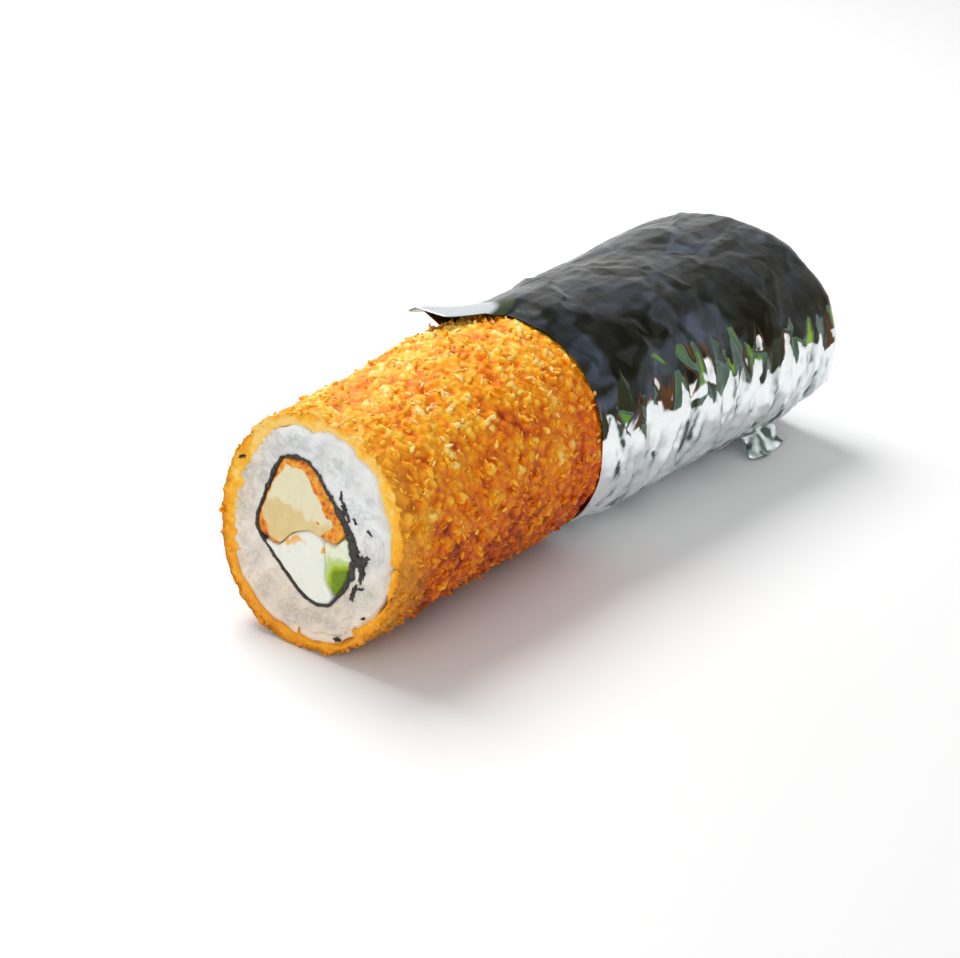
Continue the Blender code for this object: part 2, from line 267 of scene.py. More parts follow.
def crust_ring(s, relief_share, shrink=0.0, inside=False):
    """A ring of the coating on the leaning cut, with its height and tint."""
    fade = 1.0 - float(smoothstep(0.0, COVERED_END, s))
    points, heights, tints = [], [], []
    for index in range(AROUND):
        angle = math.tau * index / AROUND
        rise = AXIS_HEIGHT + FACE_HALF_HEIGHT * math.sin(angle)
        moved = s + FACE_LEAN * rise * fade
        radius = radius_on(crust_tree, angle, moved, inside) or 25.0
        rise = AXIS_HEIGHT + radius * math.sin(angle)
        point = Vector((radius * math.cos(angle), moved + FACE_START, rise))
        height, tint = flake_relief(point)
        radius += height * relief_share - shrink
        low = max(AXIS_HEIGHT + radius * math.sin(angle), 0.0)
        points.append((radius * math.cos(angle), point.y, low))
        heights.append(height)
        tints.append(tint)
    return points, heights, tints


# %% Skin the coating
rings = []
s = FOIL_EDGE + 4.0
for tail in (COVERED_END - 1.0, 120.0):
    rings.append(crust_ring(tail, 0.0, 0.6))
while s > 0.0:
    under_foil = 1.0 - float(smoothstep(FOIL_EDGE - 1.5, FOIL_EDGE + 0.5, s))
    rings.append(crust_ring(s, under_foil, 0.6 * (1.0 - under_foil)))
    s -= CRUST_STEP
rim_outer = np.array(rings[-1][0])
rim_inner = np.array(crust_ring(0.0, 0.0, 0.0, inside=True)[0])
RIM_ROWS = 14


def rim_spill(angle):
    """How far the coating spreads over the rice at the cut: most on the left and low."""
    spill = 0.7 + 2.6 * float(smoothstep(-0.1, 0.8, math.cos(angle - math.radians(215.0))))
    return spill + 1.5 * noise.noise(Vector((math.cos(angle), math.sin(angle), 4.0)) * 4.0)


for index in range(AROUND):
    angle = math.tau * index / AROUND
    inward = across_roll(angle) * rim_spill(angle)
    rim_inner[index] -= np.array([inward.x, FACE_LEAN * inward.z, inward.z])
for row in range(1, RIM_ROWS + 1):
    share = row / RIM_ROWS
    points = rim_outer * (1.0 - share) + rim_inner * share
    found = [flake_relief(Vector(point)) for point in points]
    ragged = np.array([height for height, _ in found]) + noise_at(points, 0.7, 4.0) * 0.25
    points += np.outer(ragged * 0.6 - 0.7 * (1.0 - share) ** 2 + 0.05 - 0.35 * share ** 4, FACE_NORMAL)
    points[:, 2] = np.maximum(points[:, 2], 0.0)
    rim_tints = [0.45 + 0.35 * tint + 0.45 * share for _, tint in found]
    rings.append((points.tolist(), (0.35 + 0.6 * ragged).tolist(), rim_tints))
for tail in (4.0, 60.0, COVERED_END - 1.0):
    rings.append(crust_ring(tail, 0.0, 0.0, inside=True))
crust_points = np.array([point for ring in rings for point in ring[0]])
crust_heights = np.array([value for ring in rings for value in ring[1]])
crust_tints = np.array([value for ring in rings for value in ring[2]])
crumb_coat = make_piece("crumb_coat", crust_points, ring_faces(len(rings), AROUND, True))
add_attribute(crumb_coat, "flake_height", crust_heights)
add_attribute(crumb_coat, "flake_tint", crust_tints)
print("coating rings", len(rings), "relief", crust_heights.min().round(2), crust_heights.max().round(2))


# %% [markdown]
# The colour runs from pale gold on the top through orange on the side to brown underneath: partly the
# frying's own browning, partly painted light on the top and painted shade below. The proud flakes are
# painted lighter and the gaps between them darker, as painted highlight and shade. Near the foil, below
# the top, the colour is darker and redder. Position drives the large change, the flakes' own height and
# tint drive the small one. Fried batter is oily: IOR 1.47, roughness about 0.45.

# %% Fried breadcrumb material
def fried_crumbs(name):
    material, tree, shader, place = start_material(name)
    height = point_value(tree, "flake_height")
    tint = point_value(tree, "flake_tint")
    axes = add_node(tree, "ShaderNodeSeparateXYZ", {0: place})
    broad = noise_map(tree, place, 8.0, 3.0)
    fine = noise_map(tree, place, 1.6, 4.0)
    # painted shade and light on top of the real browning: darker towards the bottom, lighter on top
    lift = ranged(tree, axes.outputs["Z"], 2.0, 54.0, -0.42, 0.07)
    shade = lift
    # the flakes' height makes proud flakes lighter and the gaps darker: painted highlight and shade
    for part, weight in ((fine, 0.40), (tint, 0.42), (height, 0.34), (broad, 0.62)):
        shade = maths(tree, "MULTIPLY_ADD", part, weight, shade)
    colour = add_node(tree, "ShaderNodeValToRGB", {0: shade}, ramp=[
        (0.14, "#7c3000"), (1.00, "#fddc8c"), (0.34, "#c04e00"),
        (0.52, "#e47400"), (0.70, "#f39a00"), (0.88, "#fbc238")])
    foil_place = FACE_START + FOIL_EDGE
    by_foil = ranged(tree, axes.outputs["Y"], foil_place - 22.0, foil_place, 0.0, 0.6)
    side = ranged(tree, axes.outputs["Z"], 50.0, 40.0)
    reddened = maths(tree, "MULTIPLY", by_foil, side)
    warm = mixed(tree, reddened, colour.outputs[0], "#f4a458", "MULTIPLY")
    at_cut = ranged(tree, axes.outputs["Y"], FACE_START + 20.0, FACE_START + 8.0, 0.0, 0.45)
    warm = mixed(tree, at_cut, warm, "#f2b830")
    tree.links.new(warm, shader.inputs["Base Color"])
    grit = noise_map(tree, place, 0.5, 3.0)
    finish_surface(tree, shader, (fine, 0.30, 0.55), (grit, 0.35, 0.0004), {
        "IOR": 1.47,
        "Specular IOR Level": 0.25,
        "Subsurface Weight": 0.08,
        "Subsurface Radius": (1.0, 0.45, 0.12),
        "Subsurface Scale": 0.0012,
    })
    return material


breadcrumb = fried_crumbs("fried_breadcrumb")
dress(crumb_coat, breadcrumb, "crumb_crust", "crumb_crust")

# %% [markdown]
# Loose flakes stand on the coating and break its outline. They are joined copies of one small
# faceted lump, each with its own turn, size and tint, half sunk in the coating. Copies made with
# numpy stay one mesh, which an export keeps; particles would be lost.

# %% Scatter the loose flakes
rng = np.random.default_rng(11)
FLAKE_COUNT = 1900


def lump_template(detail):
    """Points and triangles of a unit icosphere."""
    shape = bmesh.new()
    bmesh.ops.create_icosphere(shape, subdivisions=detail, radius=1.0)
    points = np.array([vertex.co[:] for vertex in shape.verts])
    faces = [tuple(vertex.index for vertex in face.verts) for face in shape.faces]
    shape.free()
    return points, faces


def random_turn():
    """A random rotation matrix."""
    quaternion = rng.normal(size=4)
    quaternion /= np.linalg.norm(quaternion)
    w, x, y, z = quaternion
    return np.array([
        [1 - 2 * (y * y + z * z), 2 * (x * y - z * w), 2 * (x * z + y * w)],
        [2 * (x * y + z * w), 1 - 2 * (x * x + z * z), 2 * (y * z - x * w)],
        [2 * (x * z - y * w), 2 * (y * z + x * w), 1 - 2 * (x * x + y * y)]])


def scatter(name, places, sizes, template, roughen):
    """Join turned and stretched copies of a lump; returns the piece and each point's copy number."""
    base, base_faces = template
    points, faces, owner = [], [], []
    for index, (place, size) in enumerate(zip(places, sizes)):
        dented = base * (1.0 + roughen * rng.uniform(-1.0, 1.0, (len(base), 1)))
        points.append(dented * size @ random_turn().T + place)
        offset = index * len(base)
        faces += [tuple(corner + offset for corner in face) for face in base_faces]
        owner += [index] * len(base)
    return make_piece(name, np.vstack(points), faces), np.array(owner)


bare_rows = np.arange(3 * AROUND, (len(rings) - 3 - RIM_ROWS) * AROUND)
bare_rows = bare_rows[crust_points[bare_rows, 1] < FACE_START + FOIL_EDGE - 0.5]
chosen = rng.choice(bare_rows, FLAKE_COUNT, replace=False)
outward = (crust_points[chosen] - np.array([0.0, 0.0, AXIS_HEIGHT])) * np.array([1.0, 0.0, 1.0])
outward /= np.linalg.norm(outward, axis=1)[:, None]
reach = rng.uniform(0.45, 1.30, FLAKE_COUNT)
flake_width = reach * rng.uniform(0.30, 0.7, FLAKE_COUNT)
flake_sizes = np.column_stack([reach, flake_width, reach * rng.uniform(0.18, 0.4, FLAKE_COUNT)])
flake_places = crust_points[chosen] + outward * 0.05
flake_places[:, 2] = np.maximum(flake_places[:, 2], 1.3 * reach + 0.02)
flakes, owner = scatter("loose_crumbs", flake_places, flake_sizes, lump_template(2), 0.30)
add_attribute(flakes, "flake_height", rng.uniform(0.1, 0.75, FLAKE_COUNT)[owner])
add_attribute(flakes, "flake_tint", rng.uniform(0.1, 0.75, FLAKE_COUNT)[owner])
dress(flakes, breadcrumb, "crumb_crust")
print("flakes", FLAKE_COUNT, "triangles", len(flakes.data.polygons))

# %% [markdown]
# ## The rice
# At the cut the grains are pressed and sliced, so the ring is nearly smooth with soft outlines of
# grains. It is a relief core with real grains, about 5 mm by 2.4 mm, sunk into it.

# %% Rice core
rice_tree = solid_tree("rice_layer")
nori_tree = solid_tree("nori_sheet")
RICE_AROUND = 300
RICE_ROWS = 34
FACE_DEPTH = 10.0
BACK_DEPTH = 150.0


def face_point(x, z, proud=0.0):
    """A point of the leaning cut face, moved out of it by proud millimetres."""
    return np.array([x, FACE_START + FACE_LEAN * z, z]) + FACE_NORMAL * proud


def plane_radius(tree, angle, inside):
    """Radius of a solid's skin at the cut: measured a little way in, where no angle misses it."""
    return radius_on(tree, angle, FACE_DEPTH, inside)


def nori_skins(angle):
    """Inner and outer radius of the nori at the cut: thin, uneven, and thick where its ends overlap."""
    direction = across_roll(angle)
    torn = noise.noise(direction * 9.0)
    right = float(smoothstep(0.35, 0.95, math.cos(angle - 0.05)))
    blots = max(0.0, noise.noise(direction * 13.0 + Vector((0.0, 7.0, 0.0))))
    blots *= float(smoothstep(-0.2, 0.6, direction.z))
    half = 0.24 * (1.0 + 0.6 * torn) + 0.45 * right * (1.0 + 1.1 * torn) + 0.9 * blots
    middle = 0.5 * (plane_radius(nori_tree, angle, False) + plane_radius(nori_tree, angle, True))
    middle += 0.25 * noise.noise(direction * 5.0 + Vector((4.0, 0.0, 0.0)))
    return middle - half, middle + half


rice_in = [nori_skins(math.tau * i / RICE_AROUND)[1] - 0.05 for i in range(RICE_AROUND)]
rice_out = [plane_radius(rice_tree, math.tau * i / RICE_AROUND, False) for i in range(RICE_AROUND)]


def grain_relief(point):
    """Soft outlines of sliced grains: cells about 5 mm by 2.4 mm, each row turned its own way."""
    turn = noise.noise(point / 11.0) * 2.5
    spun = Matrix.Rotation(turn, 3, "Y") @ point
    spun.x *= 0.45
    distances, _ = noise.voronoi(spun / 2.3)
    return 0.20 * min(1.0, (distances[1] - distances[0]) * 1.6) + 0.22 * noise.noise(point / 2.6)


rice_rows = []
for row in range(RICE_ROWS):
    share = row / (RICE_ROWS - 1)
    ring = []
    for index in range(RICE_AROUND):
        angle = math.tau * index / RICE_AROUND
        wander = noise.noise(Vector((math.cos(angle), math.sin(angle), 0.0)) * 6.0)
        reach_out = rice_out[index] + 0.6 + 0.9 * wander
        radius = rice_in[index] * (1.0 - share) + reach_out * share
        x = radius * math.cos(angle)
        z = AXIS_HEIGHT + radius * math.sin(angle)
        soften = min(1.0, 8.0 * share * (1.0 - share) + 0.15)
        proud = grain_relief(Vector((x, 0.0, z))) * soften - 0.15 * (1.0 - soften)
        buried = radius - (plane_radius(crust_tree, angle, True) - rim_spill(angle))
        proud -= 0.9 * float(smoothstep(-0.4, 0.5, buried))
        ring.append(face_point(x, z, proud))
    rice_rows.append(ring)
for depth, radii in ((6.0, rice_out), (BACK_DEPTH, rice_out), (BACK_DEPTH, rice_in), (6.0, rice_in)):
    ring = []
    for index in range(RICE_AROUND):
        angle = math.tau * index / RICE_AROUND
        z = AXIS_HEIGHT + radii[index] * math.sin(angle)
        ring.append(np.array([radii[index] * math.cos(angle), FACE_START + FACE_LEAN * z + depth, z]))
    rice_rows.append(ring)
rice_points = np.array(rice_rows).reshape(-1, 3)
rice_core = make_piece("rice_core", rice_points, ring_faces(len(rice_rows), RICE_AROUND, True))

# %% Rice grains pressed into the cut
GRAIN_COUNT = 330
GRAIN_HALF = (2.5, 1.15, 0.55)
rng = np.random.default_rng(5)
grain_places = []
grain_sizes = []
for _ in range(GRAIN_COUNT):
    column = rng.integers(RICE_AROUND)
    angle = math.tau * column / RICE_AROUND
    share = math.sqrt(rng.uniform(0.04, 0.55))
    radius = rice_in[column] + (rice_out[column] - rice_in[column]) * share
    x = radius * math.cos(angle)
    z = AXIS_HEIGHT + radius * math.sin(angle)
    grain_places.append(face_point(x, z, rng.uniform(-0.50, -0.24)))
    grain_sizes.append(np.array(GRAIN_HALF) * rng.uniform(0.8, 1.05))
grain_sizes = np.array(grain_sizes)


def pressed_grains(name, places, sizes, template):
    """Join grains that lie along the cut face, each turned about the face's normal."""
    base, base_faces = template
    across = np.array([1.0, 0.0, 0.0])
    upward = np.cross(across, FACE_NORMAL)
    points, faces, owner = [], [], []
    for index, (place, size) in enumerate(zip(places, sizes)):
        turn = rng.uniform(0.0, math.tau)
        tip = rng.normal(0.0, 0.06)
        along = across * math.cos(turn) + upward * math.sin(turn)
        along = along * math.cos(tip) + FACE_NORMAL * math.sin(tip)
        side = np.cross(FACE_NORMAL, along)
        side /= np.linalg.norm(side)
        lift = np.cross(along, side)
        bend = 0.10 * (base[:, :1] ** 2) * np.array([[0.0, 1.0, 0.0]])
        points.append((base + bend) * size @ np.array([along, side, lift]) + place)
        offset = index * len(base)
        faces += [tuple(corner + offset for corner in face) for face in base_faces]
        owner += [index] * len(base)
    return make_piece(name, np.vstack(points), faces), np.array(owner)


grains, owner = pressed_grains("rice_grains", grain_places, grain_sizes, lump_template(2))
add_attribute(grains, "grain_tint", rng.uniform(0.0, 1.0, GRAIN_COUNT)[owner])
add_attribute(rice_core, "grain_tint", 0.5 + 0.5 * noise_at(rice_points, 3.0, 2.0))
print("grains", GRAIN_COUNT, "triangles", len(grains.data.polygons))


# %% [markdown]
# Cooked short-grain rice is a soft, wet starch: it lets light in a little, so the material has subsurface
# scattering. Dressed with vinegar it has a thin shine. It is cool grey above and cream towards the bottom
# and the left.

# %% Cooked rice material
def cooked_rice():
    material, tree, shader, place = start_material("cooked_sushi_rice")
    tint = point_value(tree, "grain_tint")
    axes = add_node(tree, "ShaderNodeSeparateXYZ", {0: place})
    patch = noise_map(tree, place, 6.0, 4.0)
    low = ranged(tree, axes.outputs["Z"], 36.0, 12.0)
    left = ranged(tree, axes.outputs["X"], -8.0, -20.0)
    # cream towards the bottom and the left
    cream_share = maths(tree, "MAXIMUM", low, left)
    base = mixed(tree, cream_share, "#e8eaea", "#e6d5c0")
    base = mixed(tree, tint, base, mixed(tree, 0.35, base, "#eceae4"))
    veil = add_node(tree, "ShaderNodeValToRGB", {0: patch}, ramp=[(0.36, "#dddad5"), (0.60, "#ffffff")])
    base = mixed(tree, 0.7, base, veil.outputs[0], "MULTIPLY")
    tree.links.new(base, shader.inputs["Base Color"])
    skin = noise_map(tree, place, 0.7, 3.0)
    finish_surface(tree, shader, (patch, 0.30, 0.52), (skin, 0.18, 0.0004), {
        "IOR": 1.38,
        "Subsurface Weight": 0.25,
        "Subsurface Radius": (1.0, 0.8, 0.6),
        "Subsurface Scale": 0.0015,
    })
    return material


sushi_rice = cooked_rice()
dress(rice_core, sushi_rice, "rice_layer", "rice_layer")
dress(grains, sushi_rice, "rice_layer")

# %% [markdown]
# ## The nori
# Nori is a paper-thin pressed seaweed sheet. Wet from the rice it goes black, swells and tears at
# the knife, so its cut edge stands a little proud and is uneven. On the right its ends overlap and
# torn scraps stick in the rice.

# %% Nori tube with a torn edge
NORI_AROUND = 360
nori_rows = [[], [], [], [], [], []]
for index in range(NORI_AROUND):
    angle = math.tau * index / NORI_AROUND
    inner, outer = nori_skins(angle)
    direction = across_roll(angle)
    rough = 0.20 * noise.noise(direction * 31.0)
    for row, (radius, proud, depth) in enumerate((
            (inner, 0.0, BACK_DEPTH), (inner, 0.0, 3.0), (inner + 0.05, 0.25 + rough, 0.0),
            (outer - 0.05, 0.35 + rough, 0.0), (outer, 0.0, 3.0), (outer, 0.0, BACK_DEPTH))):
        place = face_point(radius * direction.x, AXIS_HEIGHT + radius * direction.z, proud)
        nori_rows[row].append(place + np.array([0.0, depth, 0.0]))
nori_roll = make_piece("nori_roll", np.array(nori_rows).reshape(-1, 3), ring_faces(6, NORI_AROUND, True))

# %% Torn scraps of nori beside the tube
# Each scrap: x and height from the axis, size, stretch, turn
SCRAPS = (
    (15.6, -1.6, 2.3, 1.1, 0.4), (16.4, -3.8, 1.2, 1.9, 1.5), (12.9, 2.8, 1.0, 2.6, 2.2),
    (13.9, 0.4, 1.5, 1.7, 2.1), (9.6, 9.0, 0.9, 2.8, 2.1), (8.2, 11.4, 0.5, 2.4, 1.7),
    (14.6, -9.4, 0.9, 2.3, 1.4), (16.6, -7.6, 0.5, 2.0, 0.3), (17.2, 5.8, 0.45, 1.9, 2.5),
    (12.8, 7.2, 0.4, 1.8, 2.2),
    (18.2, -14.0, 0.40, 1.8, 0.6), (-21.6, 12.0, 0.5, 1.5, 0.4), (11.4, -21.4, 0.35, 2.4, -0.2),
)
SCRAP_POINTS = 26
scrap_points, scrap_faces = [], []
for x, rise, size, stretch, turn in SCRAPS:
    start = len(scrap_points)
    for layer, proud in enumerate((0.62, -0.9)):
        scrap_points.append(face_point(x, AXIS_HEIGHT + rise, proud))
        spikes = np.random.default_rng(abs(int(100 * size + 7 * x))).uniform(0.45, 1.35, SCRAP_POINTS)
        for corner in range(SCRAP_POINTS):
            angle = math.tau * corner / SCRAP_POINTS
            along = size * stretch * spikes[corner] * math.cos(angle)
            across = size * spikes[corner] * math.sin(angle) * 0.7
            dx = along * math.cos(turn) - across * math.sin(turn)
            dz = along * math.sin(turn) + across * math.cos(turn)
            curl = 0.25 * math.sin(3.0 * angle + x) if layer == 0 else 0.0
            scrap_points.append(face_point(x + dx, AXIS_HEIGHT + rise + dz, proud - 0.25 + curl))
    top = start + 1
    bottom = start + SCRAP_POINTS + 2
    for corner in range(SCRAP_POINTS):
        following = (corner + 1) % SCRAP_POINTS
        scrap_faces.append((start, top + corner, top + following))
        scrap_faces.append((start + SCRAP_POINTS + 1, bottom + following, bottom + corner))
        scrap_faces.append((top + corner, bottom + corner, bottom + following, top + following))
nori_scraps = make_piece("nori_scraps", scrap_points, scrap_faces, smooth=False)


# %% Wet nori material
def wet_nori():
    material, tree, shader, place = start_material("wet_roasted_nori")
    fibre = noise_map(tree, place, 0.9, 5.0)
    colour = add_node(tree, "ShaderNodeValToRGB", {0: fibre}, ramp=[(0.35, "#15130f"), (0.68, "#423c38")])
    tree.links.new(colour.outputs[0], shader.inputs["Base Color"])
    finish_surface(tree, shader, (fibre, 0.35, 0.65), (fibre, 0.5, 0.0003), {
        "IOR": 1.45,
    })
    return material


seaweed = wet_nori()
dress(nori_roll, seaweed, "nori_sheet", "nori_sheet")
dress(nori_scraps, seaweed, "nori_sheet")

# %% [markdown]
# ## The fillings
# Each filling is cut flat with the roll, then sags or swells by itself: cheese bulges and smears,
# meat shows fibres, its batter edge is bumpy. The outline of each comes from its CAD solid's cut
# face; a cap of shrinking rings carries the relief, and the strip runs back into the roll.

# %% Build a filling from its solid's outline
FILL_AROUND = 200
FILL_ROWS = 34
SOFTENING = 14


def softened(outline, rounds):
    """Round the corners of a closed outline by averaging each point with its neighbours."""
    for _ in range(rounds):
        outline = 0.5 * outline + 0.25 * (np.roll(outline, 1, axis=0) + np.roll(outline, -1, axis=0))
    return outline


def cut_outline(node_name, heart):
    """The outline of a solid's cut face, evenly spaced round a heart point inside it."""
    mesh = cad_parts[node_name].data
    found = []
    for vertex in mesh.vertices:
        place = vertex.co / MM
        if abs(place.y - FACE_START - FACE_LEAN * place.z) < 0.2:
            bearing = math.atan2(place.z - AXIS_HEIGHT - heart[1], place.x - heart[0])
            found.append((bearing, place.x, place.z))
    found = sorted(set((round(a, 4), round(x, 3), round(z, 3)) for a, x, z in found))
    corners = np.array([(x, z) for _, x, z in found])
    closed = np.vstack([corners, corners[:1]])
    lengths = np.concatenate([[0.0], np.cumsum(np.linalg.norm(np.diff(closed, axis=0), axis=1))])
    spots = np.linspace(0.0, lengths[-1], FILL_AROUND, endpoint=False)
    outline = np.column_stack([np.interp(spots, lengths, closed[:, axis]) for axis in (0, 1)])
    return softened(outline, SOFTENING)


def build_filling(name, node_name, heart, relief):
    """relief(x, height from the axis, share from edge to heart) gives proud mm and a browning share."""
    outline = cut_outline(node_name, heart)
    for index, (x, z) in enumerate(outline):
        angle = math.atan2(z - AXIS_HEIGHT, x)
        reach_out = math.hypot(x, z - AXIS_HEIGHT)
        if reach_out > plane_radius(nori_tree, angle, True) - 0.75:
            snug = nori_skins(angle)[0] - 0.04
            outline[index] = (snug * math.cos(angle), AXIS_HEIGHT + snug * math.sin(angle))
    outline = softened(outline, 6)
    centre = np.array([heart[0], heart[1] + AXIS_HEIGHT])
    rows, brown = [], []
    for depth in (BACK_DEPTH, 5.0):
        rows.append([face_point(x, z) + np.array([0.0, depth, 0.0]) for x, z in outline])
        brown += [0.5] * FILL_AROUND
    for row in range(FILL_ROWS):
        share = row / FILL_ROWS
        ring = []
        for x, z in outline * (1.0 - share) + centre * share:
            edge_distance = share * math.hypot(x - centre[0], z - centre[1]) / max(1.0 - share, 0.03)
            proud, browned = relief(x, z - AXIS_HEIGHT, edge_distance)
            edge = min(1.0, edge_distance / 0.6)
            ring.append(face_point(x, z, proud * edge - 0.3 * (1.0 - edge)))
            brown.append(browned)
        rows.append(ring)
    points = np.array(rows).reshape(-1, 3)
    faces = ring_faces(len(rows), FILL_AROUND, False)
    last = (len(rows) - 1) * FILL_AROUND
    faces.append(tuple(reversed(range(FILL_AROUND))))
    faces.append(tuple(last + index for index in range(FILL_AROUND)))
    piece = make_piece(name, points, faces)
    add_attribute(piece, "browned", brown)
    return piece


def meat_relief(x, rise, edge):
    """Pale meat in a bumpy batter edge: thin on the left, thick down the right side."""
    place = Vector((x, 0.0, rise))
    width = 0.5 + 3.9 * float(smoothstep(-3.0, 3.5, x)) + 1.2 * float(smoothstep(9.0, 14.0, rise))
    width += 1.6 * float(smoothstep(-9.5, -13.0, x)) * float(smoothstep(2.0, -2.0, rise))
    width *= 1.0 + 0.8 * noise.noise(place / 2.4)
    under = float(smoothstep(4.8, 2.4, rise + 0.15 * x + 2.6 * noise.noise(place / 2.8)))
    width *= 1.0 - under * float(smoothstep(-10.0, -7.0, x)) * (1.0 - float(smoothstep(3.0, 6.0, x)))
    browned = (1.0 - float(smoothstep(width, width + 0.45, edge))) * min(1.0, width / 0.4)
    tan = 0.38 * under
    fibres = 0.10 * noise.noise(Vector((x * 0.9, 0.0, rise * 0.35)))
    bumps = 0.30 * browned * (0.5 + noise.noise(place / 0.8))
    return 0.10 + fibres + bumps - 0.25 * under, max(browned, tan)


def cheese_relief(x, rise, edge):
    """Soft white cheese with a few smears of batter by the meat."""
    place = Vector((x, 3.0, rise))
    smear = float(smoothstep(0.22, 0.40, noise.noise(place / 1.9 + Vector((3.0, 1.0, 8.0)))))
    near_meat = float(smoothstep(-7.5, -4.0, rise + 0.1 * abs(x))) * float(smoothstep(4.0, 0.5, edge))
    swell = 0.22 + 0.16 * noise.noise(place / 4.2) + 0.06 * noise.noise(place / 1.1)
    return swell + 0.10 * smear, smear * near_meat


def cucumber_relief(x, rise, edge):
    place = Vector((x, 7.0, rise))
    return 0.25 + 0.22 * noise.noise(place / 2.0) + 0.08 * noise.noise(place / 0.7), 0.0


chicken = build_filling("chicken_cut", "chicken_strip", (-2.5, 7.5), meat_relief)
cheese = build_filling("cream_cheese_cut", "cream_cheese", (0.0, -8.5), cheese_relief)
cucumber = build_filling("cucumber_cut", "cucumber_strip", (9.0, -5.0), cucumber_relief)
print("fillings", [len(item.data.vertices) for item in (chicken, cheese, cucumber)])


# %% [markdown]
# Three food materials follow. Cooked meat is pale and fibrous with a caramel batter edge. Cream
# cheese is a smooth emulsion, bright and slightly glossy. Cucumber is watery: pale seeds and flesh
# inside, dark green skin outside, so its colour is a ramp across the strip.

# %% Filling materials
def cooked_meat():
    material, tree, shader, place = start_material("battered_chicken")
    browned = point_value(tree, "browned")
    fibre = noise_map(tree, place, 2.2, 4.0)
    flesh = mixed(tree, fibre, "#dcd3ac", "#e8e0c2")
    fibrous_tan = mixed(tree, fibre, "#d6b878", "#e2cd98")
    spots = noise_map(tree, place, 1.5, 3.0)
    batter = add_node(tree, "ShaderNodeValToRGB", {0: spots}, ramp=[
        (0.30, "#a84406"), (0.68, "#f3b43c"), (0.46, "#e4860e")])
    cooked = ranged(tree, browned, 0.02, 0.34)
    crisp = ranged(tree, browned, 0.45, 0.75)
    meat = mixed(tree, cooked, flesh, fibrous_tan)
    tree.links.new(mixed(tree, crisp, meat, batter.outputs[0]), shader.inputs["Base Color"])
    finish_surface(tree, shader, (fibre, 0.30, 0.50), (spots, 0.25, 0.0005), {
        "IOR": 1.40,
        "Subsurface Weight": 0.2,
        "Subsurface Radius": (1.0, 0.7, 0.4),
        "Subsurface Scale": 0.0015,
    })
    return material


def soft_cheese():
    material, tree, shader, place = start_material("soft_cream_cheese")
    browned = point_value(tree, "browned")
    cloud = noise_map(tree, place, 3.5, 3.0)
    base = mixed(tree, cloud, "#e2e3d4", "#ecede6")
    tree.links.new(mixed(tree, browned, base, "#e9b04c"), shader.inputs["Base Color"])
    finish_surface(tree, shader, (cloud, 0.28, 0.45), (cloud, 0.15, 0.0006), {
        "IOR": 1.42,
        "Subsurface Weight": 0.3,
        "Subsurface Radius": (1.0, 0.9, 0.7),
        "Subsurface Scale": 0.002,
    })
    return material


def wet_cucumber():
    material, tree, shader, place = start_material("cut_cucumber")
    axes = add_node(tree, "ShaderNodeSeparateXYZ", {0: place})
    patch = noise_map(tree, place, 2.4, 3.0)
    across = ranged(tree, axes.outputs["X"], 6.5, 11.0)
    down = ranged(tree, axes.outputs["Z"], AXIS_HEIGHT - 2.0, AXIS_HEIGHT - 6.5)
    share = maths(tree, "MULTIPLY", across, down)
    share = maths(tree, "MULTIPLY_ADD", down, 0.25, share)
    share = maths(tree, "MULTIPLY_ADD", patch, 0.5, share)
    colour = add_node(tree, "ShaderNodeValToRGB", {0: share}, ramp=[
        (0.28, "#e2e8cf"), (1.00, "#6c8806"), (0.44, "#bdd08c"),
        (0.66, "#b4c85c"), (0.72, "#a2b814"), (0.90, "#8ca60a")])
    tree.links.new(colour.outputs[0], shader.inputs["Base Color"])
    finish_surface(tree, shader, (patch, 0.18, 0.36), (patch, 0.2, 0.0005), {
        "IOR": 1.35,
        "Subsurface Weight": 0.06,
        "Subsurface Radius": (0.8, 1.0, 0.3),
        "Subsurface Scale": 0.0015,
    })
    return material


dress(chicken, cooked_meat(), "chicken_strip", "chicken_strip")
dress(cheese, soft_cheese(), "cream_cheese", "cream_cheese")
dress(cucumber, wet_cucumber(), "cucumber_strip", "cucumber_strip")

# %% [markdown]
# ## The foil
# Kitchen foil is rolled aluminium about 0.015 mm thick. It can't stretch, so it wraps a round roll
# in flat facets that meet in sharp creases. A sheet of random flat triangles gives just that, and a
# ray shot at the sheet reads its height at any place. Large facets cover the top; low on the sides,
# where the foil was pressed round the roll, long thin upright ones crowd together.

# %% Sheets of random facets
foil_tree = solid_tree("foil_wrap")
FOIL_AROUND = 420
FOIL_STEP = 0.62
GIRTH_RADIUS = 31.0


def facet_sheet(step_round, step_along, depth, seed):
    """A sheet of flat triangles laid round the roll: x is round it, y along it, z its height."""
    chance = np.random.default_rng(seed)
    columns = round(math.tau * GIRTH_RADIUS / step_round)
    rows = round((FOIL_END - FOIL_EDGE + 50.0) / step_along)
    step_round = math.tau * GIRTH_RADIUS / columns
    jitter = chance.uniform(-0.42, 0.42, (rows, columns, 2))
    heights = chance.uniform(-depth, depth, (rows, columns))
    flips = chance.uniform(0.0, 1.0, (rows, columns)) < 0.5
    points, faces = [], []
    width = columns + 3
    for row in range(rows):
        for column in range(-1, columns + 2):
            wrapped = column % columns
            x = (column + jitter[row, wrapped, 0]) * step_round
            y = FOIL_EDGE - 25.0 + (row + jitter[row, wrapped, 1]) * step_along
            points.append((x, y, heights[row, wrapped]))
    for row in range(rows - 1):
        for column in range(width - 1):
            a = row * width + column
            b, c, d = a + 1, a + width + 1, a + width
            if flips[row, (column - 1) % columns]:
                faces += [(a, b, c), (a, c, d)]
            else:
                faces += [(a, b, d), (b, c, d)]
    quad, half = np.divmod(np.arange(len(faces)), 2)
    wrapped_quad = quad // (width - 1) * columns + (quad % (width - 1) - 1) % columns
    tones = chance.uniform(0.0, 1.0, 2 * rows * columns)[2 * wrapped_quad + half]
    return BVHTree.FromPolygons(points, faces), tones


